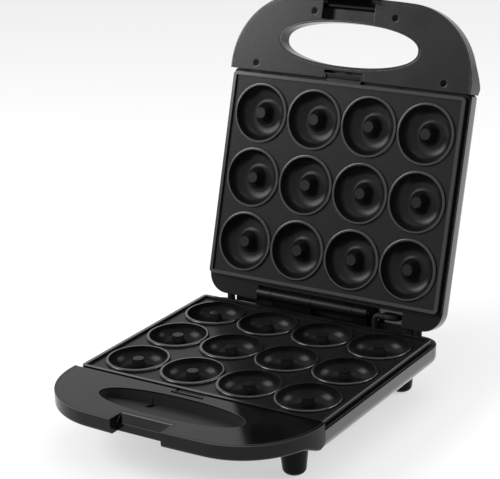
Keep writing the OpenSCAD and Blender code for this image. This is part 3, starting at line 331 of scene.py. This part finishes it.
def nonstick_coating(name, colour, roughness, shine, lid):
    """Sprayed non-stick coat on cast aluminium: pebbled skin, fine flecks, and a burnished
    shine on the raised beads and lips."""
    f = Finish(name)
    raised = f.depth(lid).span(*BEAD_DEPTHS, 1.0, 0.0)
    x, y = f.closed_plan(lid)
    across = ((x / CAVITY_PITCH[0]).wrap() - 0.5) * CAVITY_PITCH[0]
    along = ((y / CAVITY_PITCH[1] + 0.5).wrap() - 0.5) * CAVITY_PITCH[1]
    post = (across * across + along * along) ** 0.5
    pebble = f.noise(0.9, 3.0)
    fleck = f.noise(0.35, 1.0).span(0.60, 0.72)
    base = f.shade(f.noise(30.0), colour, 0.8, 1.25)
    f.set(base_color=f.mix(fleck * 0.35, base, grey(0.09)),
          roughness=roughness + (pebble - 0.5) * 0.16,
          coat_weight=raised * post.span(*POST_FADE) * 0.8, coat_roughness=0.16,
          normal=f.bump(pebble, 0.00002), ior=1.5, specular_ior_level=shine)
    return f.material


def plain_metal(name, colour, roughness, brushed=0.0):
    """Bare or plated metal with drawn lines along X and a few dull patches."""
    f = Finish(name)
    dull = f.noise(6.0, 3.0).span(0.45, 0.75)
    drawn = f.node("ShaderNodeMapping", {}, {"Vector": f.place(), "Scale": (40.0, 900.0, 900.0)})
    lines = f.node("ShaderNodeTexNoise", {"noise_dimensions": "3D"},
                   {"Vector": drawn, "Scale": 3.0, "Detail": 2.0})
    f.set(metallic=1.0, base_color=f.shade(dull, colour, 1.0, 0.72),
          roughness=roughness + dull * 0.12 + (lines - 0.5) * brushed,
          normal=f.bump(lines, 0.00001 + brushed * 0.00002))
    return f.material


def soft_rubber(name, colour):
    """Matt rubber or silicone with a fine grain."""
    f = Finish(name)
    grain = f.noise(0.5, 3.0)
    f.set(base_color=f.shade(f.noise(12.0), colour, 0.7, 1.5),
          roughness=0.62 + (grain - 0.5) * 0.2, normal=f.bump(grain, 0.00003),
          specular_ior_level=0.2)
    return f.material


def fired_ceramic(name, colour):
    """Unglazed ceramic with small pits."""
    f = Finish(name)
    pits = f.noise(0.8, 4.0)
    f.set(base_color=f.shade(f.noise(5.0, 3.0).span(0.4, 0.8), colour, 1.0, 0.8),
          roughness=0.45 + (pits - 0.5) * 0.3, normal=f.bump(pits, 0.00004))
    return f.material


def tinted_lens(name, colour):
    """Clear tinted plastic with a faint prism pattern."""
    f = Finish(name)
    x, _, z = f.split()
    ribs = ((x + z) * 5200.0).sine()
    f.set(base_color=rgba(colour), roughness=0.12 + ribs * 0.03, transmission_weight=0.35,
          normal=f.bump(ribs, 0.00008), ior=1.49)
    return f.material


def circuit_board(name, colour):
    """Lacquered board with raised tracks."""
    f = Finish(name)
    x = f.split()[0]
    track = (x * 1500.0).sine().span(0.7, 0.85)
    f.set(base_color=f.shade(track, colour, 1.0, 1.7),
          roughness=0.38 - track * 0.1, normal=f.bump(track, 0.00004))
    return f.material


# ---------------------------------------------------------------- small tools


def dress(material, *names):
    """Gives CAD nodes a material."""
    for name in names:
        shown = frame["nodes"][name]
        shown.data.materials.clear()
        shown.data.materials.append(material)


def settings():
    """The sizes and colours that a user would change."""
    return bpy.context.scene.donut_maker


def only(piece):
    """Selects one object and nothing else."""
    for other in bpy.context.selected_objects:
        other.select_set(False)
    piece.hide_set(False)
    piece.select_set(True)
    bpy.context.view_layer.objects.active = piece


def closed_place(point, lid):
    """A point in millimetres in the closed maker: x, y, and depth into its own half."""
    x, y, z = point
    if not lid:
        return x / MM, y / MM, (PARTING - z) / MM
    ry, rz = y - HINGE[0], z - HINGE[1]
    cos, sin = math.cos(LID_TURN), math.sin(LID_TURN)
    return (x / MM, (HINGE[0] + ry * cos - rz * sin) / MM,
            (HINGE[1] + ry * sin + rz * cos - PARTING) / MM)


def rest_place(x, y, depth, lid):
    """Where a point of the closed maker lies at rest, in metres."""
    if not lid:
        return Vector((x * MM, y * MM, PARTING - depth * MM))
    ry, rz = y * MM - HINGE[0], PARTING + depth * MM - HINGE[1]
    cos, sin = math.cos(LID_TURN), math.sin(LID_TURN)
    return Vector((x * MM, HINGE[0] + ry * cos + rz * sin, HINGE[1] - ry * sin + rz * cos))


def merged_copy(node, name):
    """A copy of a CAD node's mesh, welded and with its flat faces made whole."""
    source = frame["nodes"][node]
    only(source)
    bpy.ops.object.duplicate()
    piece = bpy.context.active_object
    piece.name = piece.data.name = name
    piece.parent = None
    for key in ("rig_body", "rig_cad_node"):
        if key in piece:
            del piece[key]
    piece.data.materials.clear()
    for _ in range(POLISHED + 1):  # the body's finish comes later, in the first slot
        piece.data.materials.append(bpy.data.materials["edge_polish"])
    bpy.ops.mesh.customdata_custom_splitnormals_clear()
    bpy.ops.object.mode_set(mode="EDIT")
    bpy.ops.mesh.select_all(action="SELECT")
    bpy.ops.mesh.remove_doubles(threshold=WELD * MM)
    bpy.ops.mesh.dissolve_limited(angle_limit=FLAT, delimit={"NORMAL"})
    bpy.ops.object.mode_set(mode="OBJECT")
    return piece


def round_edges(piece, lid, rule, width, segments=3, angle=35.0, slot=-1):
    """Rounds, to a width in metres, the edges sharper than the angle that the rule picks. It
    gets both ends in the closed maker's millimetres, with depth into the piece's own half."""
    mesh = piece.data
    shape = bmesh.new()
    shape.from_mesh(mesh)
    picked = []
    for edge in shape.edges:
        sharp = len(edge.link_faces) == 2 and edge.calc_face_angle(0.0) > math.radians(angle)
        ends = [closed_place(v.co, lid) for v in edge.verts]
        picked.append(float(rule(*ends)) if sharp else 0.0)
    shape.free()
    weights = mesh.attributes.get("bevel_weight_edge") or mesh.attributes.new(
        "bevel_weight_edge", "FLOAT", "EDGE")
    weights.data.foreach_set("value", picked)
    only(piece)
    bpy.ops.object.modifier_add(type="BEVEL")
    bevel = piece.modifiers[-1]
    bevel.limit_method, bevel.width, bevel.segments = "WEIGHT", width, segments
    bevel.use_clamp_overlap = False
    bevel.material = slot
    bpy.ops.object.modifier_apply(modifier=bevel.name)
    mesh.attributes.remove(mesh.attributes["bevel_weight_edge"])


def soften_root(piece, lid):
    """Trims the lower outer corners of a handle's root and seats its rear face."""
    only(piece)
    for side in (-1, 1):
        for lean, inset in ROOT_CUTS:
            corner = rest_place(side * OUTLINE, ROOT_Y, ROOT_DEPTH, lid)
            ahead = rest_place(side * (OUTLINE + lean[0]), ROOT_Y + lean[1],
                               ROOT_DEPTH + lean[2], lid)
            normal = (ahead - corner).normalized()
            bpy.ops.object.mode_set(mode="EDIT")
            bpy.ops.mesh.select_all(action="SELECT")
            bpy.ops.mesh.bisect(plane_co=corner - normal * inset * MM, plane_no=normal,
                                use_fill=True, clear_outer=True)
            bpy.ops.object.mode_set(mode="OBJECT")
    for vertex in piece.data.vertices:
        vertex.select = abs(closed_place(vertex.co, lid)[1] - ROOT_Y) < 0.02
    step = rest_place(0, ROOT_SEAT, 0, lid) - rest_place(0, 0, 0, lid)
    bpy.ops.object.mode_set(mode="EDIT")
    bpy.ops.transform.translate(value=step)
    bpy.ops.object.mode_set(mode="OBJECT")


def finish_piece(piece, material, node, body, angle=32.0):
    """Smooths and paints a piece, says what it rides on, and hides the node it stands in for."""
    only(piece)
    bpy.ops.object.shade_smooth_by_angle(angle=math.radians(angle))
    bpy.ops.object.modifier_add(type="WEIGHTED_NORMAL")
    piece.modifiers[-1].keep_sharp = True
    piece.modifiers[-1].weight = 100
    bpy.ops.object.modifier_apply(modifier=piece.modifiers[-1].name)
    if not piece.data.materials:
        piece.data.materials.append(None)
    piece.data.materials[0] = bpy.data.materials[material]
    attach(piece, body)
    if node:
        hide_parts(node)


# ---------------------------------------------------------------- where edges lie


def outline_inset(x, y):
    """How far a point lies inside a handle's outline, in millimetres."""
    if y > CORNER[1]:
        return OUTLINE - abs(x)
    if abs(x) > BOW_HALF:
        return CORNER[2] - math.hypot(abs(x) - CORNER[0], y - CORNER[1])
    return BOW[1] - math.hypot(x, y - BOW[0])


def lower_edge(a, b):
    """The edge between a handle's outer wall and its underside."""
    return all(abs(outline_inset(p[0], p[1])) < OUTLINE_SLACK and p[2] > UNDERSIDE
               and p[1] < ROOT_Y - ROOT_GAP for p in (a, b))


def rim_edge(a, b):
    """Edges of the handle's rim, notch and hand hole that show as fine lines."""
    if abs(a[2] - b[2]) > RIM_DROP:
        return False
    shallow = max(a[2], b[2]) < RIM_TOP
    notch = all(NOTCH[0] - 0.1 < p[0] < NOTCH[1] + 0.1 and p[1] < NOTCH[2] + 0.1
                and p[2] < NOTCH_FLOOR for p in (a, b))
    return shallow or notch


# ---------------------------------------------------------------- properties


class DonutMakerSettings(bpy.types.PropertyGroup):
    """Sizes and colours that a user would change."""

    handle_round: bpy.props.FloatProperty(
        name="Handle rounding", description="Rounding of the edge round a handle's underside",
        default=0.003, min=0.0, max=0.004, unit="LENGTH")
    rim_round: bpy.props.FloatProperty(
        name="Rim rounding", description="Rounding of the rims of the handles and their faces",
        default=0.00035, min=0.0, max=0.0006, unit="LENGTH")
    latch_round: bpy.props.FloatProperty(
        name="Latch rounding", description="Rounding of the latch's edges", default=0.0004,
        min=0.0, max=0.0006, unit="LENGTH")
    housing_round: bpy.props.FloatProperty(
        name="Housing rounding", description="Rounding of the rims of the two housings",
        default=0.0005, min=0.0, max=0.0008, unit="LENGTH")
    seal_round: bpy.props.FloatProperty(
        name="Seal rounding", description="Rounding of the deck seal's edges", default=0.00025,
        min=0.0, max=0.0004, unit="LENGTH")
    shell_colour: bpy.props.FloatVectorProperty(
        name="Shell colour", description="Glossy plastic of the two housings", subtype="COLOR",
        size=3, min=0.0, max=1.0, default=(0.004, 0.004, 0.0043))
    handle_colour: bpy.props.FloatVectorProperty(
        name="Handle colour", description="Satin plastic of the handles", subtype="COLOR",
        size=3, min=0.0, max=1.0, default=(0.003, 0.003, 0.0032))
    plate_colour: bpy.props.FloatVectorProperty(
        name="Plate colour", description="Non-stick coat of the plates", subtype="COLOR",
        size=3, min=0.0, max=1.0, default=(0.005, 0.005, 0.0052))
    shell_roughness: bpy.props.FloatProperty(
        name="Shell roughness", description="Roughness of the housings", min=0.02, max=0.6,
        default=0.16, subtype="FACTOR")
    handle_roughness: bpy.props.FloatProperty(
        name="Handle roughness", description="Roughness of the handles", min=0.05, max=0.8,
        default=0.17, subtype="FACTOR")
    plate_roughness: bpy.props.FloatProperty(
        name="Plate roughness", description="Roughness of the plates", min=0.1, max=0.9,
        default=0.30, subtype="FACTOR")
    camera_distance: bpy.props.FloatProperty(
        name="Camera distance", description="Distance from the camera to the point it looks at",
        default=1.334, min=0.5, max=4.0, unit="LENGTH")
    camera_lens: bpy.props.FloatProperty(
        name="Camera lens", description="Focal length in millimetres on a 36 mm sensor",
        default=122.24, min=20.0, max=300.0)
    key_power: bpy.props.FloatProperty(
        name="Key light", description="Power of the softbox at the left", default=19.0, min=0.0,
        max=400.0, unit="POWER")
    top_power: bpy.props.FloatProperty(
        name="Top light", description="Power of the softbox above", default=6.0, min=0.0,
        max=400.0, unit="POWER")
    air_level: bpy.props.FloatProperty(
        name="Air level", description="Strength of the even light from all round", default=0.5,
        min=0.0, max=2.0)
    rim_power: bpy.props.FloatProperty(
        name="Rim light", description="Power of the softbox behind on the right", default=12.0,
        min=0.0, max=400.0, unit="POWER")
    floor_veil: bpy.props.FloatProperty(
        name="Floor veil", description="How far the floor's shadow is lifted towards white",
        default=0.50, min=0.0, max=1.0, subtype="FACTOR")


# ---------------------------------------------------------------- operators


class DM_OT_finishes(bpy.types.Operator):
    """Give every part of the maker its finish"""

    bl_idname = "donut_maker.finishes"
    bl_label = "Finishes"

    def execute(self, context):
        s = settings()
        for half, lid in HALVES:
            dress(shell_gloss(half + "_shell_gloss", s.shell_colour, s.shell_roughness, lid),
                  half + "_housing")
        dress(nonstick_coating("base_nonstick", s.plate_colour, s.plate_roughness - 0.06, 0.09,
                               False), "base_plate")
        dress(nonstick_coating("lid_nonstick", s.plate_colour, s.plate_roughness, 0.16, True),
              "lid_plate")

        colour, roughness, fine = s.handle_colour, s.handle_roughness, 0.00001
        moulded_plastic("edge_polish", colour, 0.2, 0.000003, shine=0.75, play=0.04)
        dress(moulded_plastic("satin_handle", colour, roughness, fine), "latch")
        # the base tub carries the painted shade on its notch slope
        dress(moulded_plastic("satin_tub", colour, roughness, fine, notch=True), "base_handle")
        dress(moulded_plastic("lid_tub_satin", colour, roughness, fine, shine=0.42), "lid_handle")
        dress(moulded_plastic("lid_face_satin", colour, s.plate_roughness - 0.03, fine, shine=0.25),
              "lid_handle_face", "lid_plate_clip")
        dress(well_face("base_face_polish", colour, 0.09, False), "base_handle_face",
              "base_plate_clip")
        dress(moulded_plastic("foot_plastic", colour, 0.3, fine, shine=0.1), "feet")
        dress(moulded_plastic("hinge_enamel", (0.004, 0.004, 0.0043), 0.28, fine, shine=0.14),
              "base_hinge_bracket", "lid_hinge_bracket")

        dress(plain_metal("drawn_sheet", (0.55, 0.55, 0.57), 0.32, 0.2),
              "base_heater_straps", "lid_heater_straps")
        # painted shade: the heat pans are near-black so the gap between each plate's lip and its
        # housing rim reads dark
        dress(plain_metal("blackened_pan", (0.012, 0.012, 0.012), 0.4, 0.1),
              "base_heat_pan", "lid_heat_pan")
        dress(plain_metal("scaled_tube", (0.16, 0.15, 0.15), 0.42, 0.1),
              "base_heater", "lid_heater")
        dress(plain_metal("plated_steel", (0.62, 0.62, 0.64), 0.22, 0.1),
              "base_clip_spring", "lid_clip_spring", "base_handle_bolts", "lid_handle_bolts",
              "base_pan_screws", "lid_pan_screws", "foot_screws", "thermostat")
        # painted shade: the face screws are near-black so their recessed holes read dark
        dress(plain_metal("blackened_screw", (0.006, 0.006, 0.006), 0.22, 0.05),
              "base_face_screws", "lid_face_screws")
        dress(plain_metal("blackened_pin", (0.02, 0.02, 0.021), 0.3, 0.05),
              "base_hinge_screws", "lid_hinge_screws", "hinge_pin", "latch_pin")
        dress(plain_metal("fuse_brass", (0.65, 0.48, 0.22), 0.3, 0.1), "thermal_fuse")

        dress(fired_ceramic("fired_ceramic", (0.78, 0.75, 0.68)),
              "base_heater_bushings", "lid_heater_bushings", "terminal_block")
        dress(soft_rubber("black_rubber", (0.006, 0.006, 0.006)), "cord_gland", "lid_stop_pads")
        dress(soft_rubber("silicone_sleeve", (0.006, 0.006, 0.006)), "base_harness", "lid_harness")
        dress(soft_rubber("lead_insulation", (0.62, 0.58, 0.5)), "base_leads", "lid_leads")
        dress(tinted_lens("red_lens", (0.6, 0.03, 0.02)), "power_lamp_lens")
        dress(tinted_lens("green_lens", (0.03, 0.4, 0.09)), "ready_lamp_lens")
        dress(tinted_lens("bulb_glass", (0.9, 0.75, 0.5)), "lamp_bulbs")
        dress(circuit_board("green_board", (0.02, 0.13, 0.05)), "lamp_board")
        return {"FINISHED"}


class DM_OT_handles(bpy.types.Operator):
    """Round the handle shells and their faces"""

    bl_idname = "donut_maker.handles"
    bl_label = "Handles"

    def execute(self, context):
        s = settings()
        for half, lid in HALVES:
            shell = merged_copy(half + "_handle", half + "_handle_shell")
            round_edges(shell, lid, lower_edge, s.handle_round, segments=5)
            soften_root(shell, lid)
            face = merged_copy(half + "_handle_face", half + "_handle_top")
            for piece in (shell, face):
                round_edges(piece, lid, rim_edge, s.rim_round, segments=2, angle=50.0,
                            slot=POLISHED)
            finish_piece(shell, "lid_tub_satin" if lid else "satin_tub", half + "_handle", half)
            finish_piece(face, "lid_face_satin" if lid else "base_face_polish",
                         half + "_handle_face", half)
        return {"FINISHED"}


class DM_OT_latch(bpy.types.Operator):
    """Round the latch"""

    bl_idname = "donut_maker.latch"
    bl_label = "Latch"

    def execute(self, context):
        latch = merged_copy("latch", "latch_blade")
        pivot = closed_place(JOINTS["latch_pivot"]["pos_m"], True)[1:]

        def outside(a, b):
            return all(math.dist(p[1:], pivot) > LATCH_BARREL for p in (a, b))

        round_edges(latch, True, outside, settings().latch_round, angle=25.0, slot=POLISHED)
        finish_piece(latch, "satin_handle", "latch", "latch")
        return {"FINISHED"}


class DM_OT_housings(bpy.types.Operator):
    """Smooth the two housings and round their rims"""

    bl_idname = "donut_maker.housings"
    bl_label = "Housings"

    def execute(self, context):
        def rim(a, b):
            return all(p[2] < RIM_DEPTH and (abs(p[0]) > HOUSING_SIDE or p[1] > DECK_Y)
                       for p in (a, b))

        for half, lid in HALVES:
            shell = merged_copy(half + "_housing", half + "_shell")
            round_edges(shell, lid, rim, settings().housing_round, segments=2, angle=50.0,
                        slot=POLISHED)
            finish_piece(shell, half + "_shell_gloss", half + "_housing", half,
                         angle=40.0)
        return {"FINISHED"}


class DM_OT_deck_seal(bpy.types.Operator):
    """Lay the rubber wiper that closes the slot behind the hinge"""

    bl_idname = "donut_maker.deck_seal"
    bl_label = "Deck seal"

    def execute(self, context):
        bpy.ops.object.select_all(action="DESELECT")
        low, high = Vector(SEAL_LOW) * MM, Vector(SEAL_HIGH) * MM
        bpy.ops.mesh.primitive_cube_add(size=1.0, location=(low + high) / 2, scale=high - low)
        bpy.ops.object.transform_apply(location=True, rotation=False, scale=True)
        seal = context.active_object
        seal.name = seal.data.name = "deck_seal"
        bpy.ops.object.mode_set(mode="EDIT")
        bpy.ops.mesh.select_all(action="SELECT")
        bpy.ops.mesh.bevel(offset=settings().seal_round, segments=3)
        bpy.ops.object.mode_set(mode="OBJECT")
        finish_piece(seal, "black_rubber", None, "base")
        return {"FINISHED"}


class DM_OT_clip_springs(bpy.types.Operator):
    """Copy the coils behind the plate clips, smoothed, each with a mesh of its own"""

    bl_idname = "donut_maker.clip_springs"
    bl_label = "Clip springs"

    def execute(self, context):
        for half, _ in HALVES:
            coil = merged_copy(half + "_clip_spring", half + "_clip_coil")
            finish_piece(coil, "plated_steel", half + "_clip_spring", half)
            slide = JOINTS[half + "_clip_slide"]
            axis = Vector(slide["axis"]).normalized()
            along = [vertex.co.dot(axis) for vertex in coil.data.vertices]
            free = max(along) - min(along)
            1.0 - (slide["range_m"][1] + SPRING_SPARE * MM) / free
            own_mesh(coil)
        return {"FINISHED"}


class DM_OT_stage(bpy.types.Operator):
    """Set the floor, the lights and the camera"""

    bl_idname = "donut_maker.stage"
    bl_label = "Stage"

    def execute(self, context):
        s = settings()
        scene = context.scene
        scene.view_settings.view_transform = "Standard"
        bpy.ops.object.select_all(action="DESELECT")
        bpy.ops.mesh.primitive_plane_add(size=FLOOR_SIZE, location=(0, 0, -FLOOR_DROP))
        floor = context.active_object
        floor.name = "stage_floor"
        paper = Finish("stage_paper")
        paper.set(base_color=paper.mix(paper.noise(400.0, 1.0), grey(0.90), grey(0.92)),
                  roughness=0.8)
        glow = paper.node("ShaderNodeEmission", {}, {"Color": grey(1.0), "Strength": 1.08})
        veil = paper.node("ShaderNodeMixShader", {}, {
            0: paper.seen() * s.floor_veil, 1: Term(paper, paper.bsdf.outputs[0]), 2: glow})
        paper.plug(paper.tree.nodes["Material Output"].inputs[0], veil)
        floor.data.materials.append(paper.material)

        scene.world = bpy.data.worlds.new("studio_air")
        air = Shader(scene.world)
        soft = air.tree.nodes["Background"]
        air.plug(soft.inputs[0], grey(1.0))
        air.plug(soft.inputs[1], s.air_level)
        white = air.node("ShaderNodeBackground", {}, {0: grey(0.966), 1: 1.0})
        sky = air.node("ShaderNodeMixShader", {}, {
            0: air.seen(), 1: Term(air, soft.outputs[0]), 2: white})
        air.plug(air.tree.nodes["World Output"].inputs[0], sky)

        for name, place, aim, width in SOFTBOXES:
            self.softbox(context, name, place, aim, width, getattr(s, name + "_power"))
        self.camera(context)
        return {"FINISHED"}

    def softbox(self, context, name, place, aim, width, power):
        """Adds a square area lamp that faces its aim."""
        bpy.ops.object.light_add(type="AREA", location=place)
        lamp = context.active_object
        lamp.name = "stage_" + name
        lamp.data.size = width
        lamp.data.energy = power
        lamp.rotation_euler = (Vector(place) - Vector(aim)).to_track_quat("Z", "Y").to_euler()

    def camera(self, context):
        """Adds the camera, turned about its aim from straight ahead."""
        s = settings()
        azimuth, elevation, roll = (math.radians(angle) for angle in CAMERA_TURN)
        back = Vector((math.sin(azimuth) * math.cos(elevation),
                       -math.cos(azimuth) * math.cos(elevation), math.sin(elevation)))
        side = Vector((0, 0, 1)).cross(back).normalized()
        up = back.cross(side)
        x = math.cos(roll) * side + math.sin(roll) * up
        y = -math.sin(roll) * side + math.cos(roll) * up
        bpy.ops.object.camera_add()
        camera = context.active_object
        camera.name = "studio_camera"
        place = Vector(CAMERA_AIM) + back * s.camera_distance
        camera.matrix_world = (Matrix.Translation(place)
                               @ Matrix((x, y, back)).transposed().to_4x4())
        camera.data.lens = s.camera_lens
        camera.data.sensor_width = 36.0
        camera.data.clip_start, camera.data.clip_end = 0.05, 60.0
        context.scene.camera = camera


class DM_PT_panel(bpy.types.Panel):
    """Lists the steps that dress the maker"""

    bl_idname = "DM_PT_panel"
    bl_label = "Donut maker"
    bl_space_type = "VIEW_3D"
    bl_region_type = "UI"
    bl_category = "Donut maker"

    def draw(self, context):
        column = self.layout.column(align=True)
        for step in STEPS:
            column.operator(step.bl_idname)
        for key in DonutMakerSettings.__annotations__:
            self.layout.prop(context.scene.donut_maker, key)


STEPS = (DM_OT_finishes, DM_OT_handles, DM_OT_latch, DM_OT_housings,
         DM_OT_deck_seal, DM_OT_clip_springs, DM_OT_stage)


def register():
    bpy.utils.register_class(DonutMakerSettings)
    for step in STEPS:
        bpy.utils.register_class(step)
    bpy.utils.register_class(DM_PT_panel)
    bpy.types.Scene.donut_maker = bpy.props.PointerProperty(type=DonutMakerSettings)


def unregister():
    del bpy.types.Scene.donut_maker
    bpy.utils.unregister_class(DM_PT_panel)
    for step in reversed(STEPS):
        bpy.utils.unregister_class(step)
    bpy.utils.unregister_class(DonutMakerSettings)


def main():
    register()
    for step in STEPS:
        group, name = step.bl_idname.split(".")
        getattr(getattr(bpy.ops, group), name)()


if __name__ == "__main__":
    main()
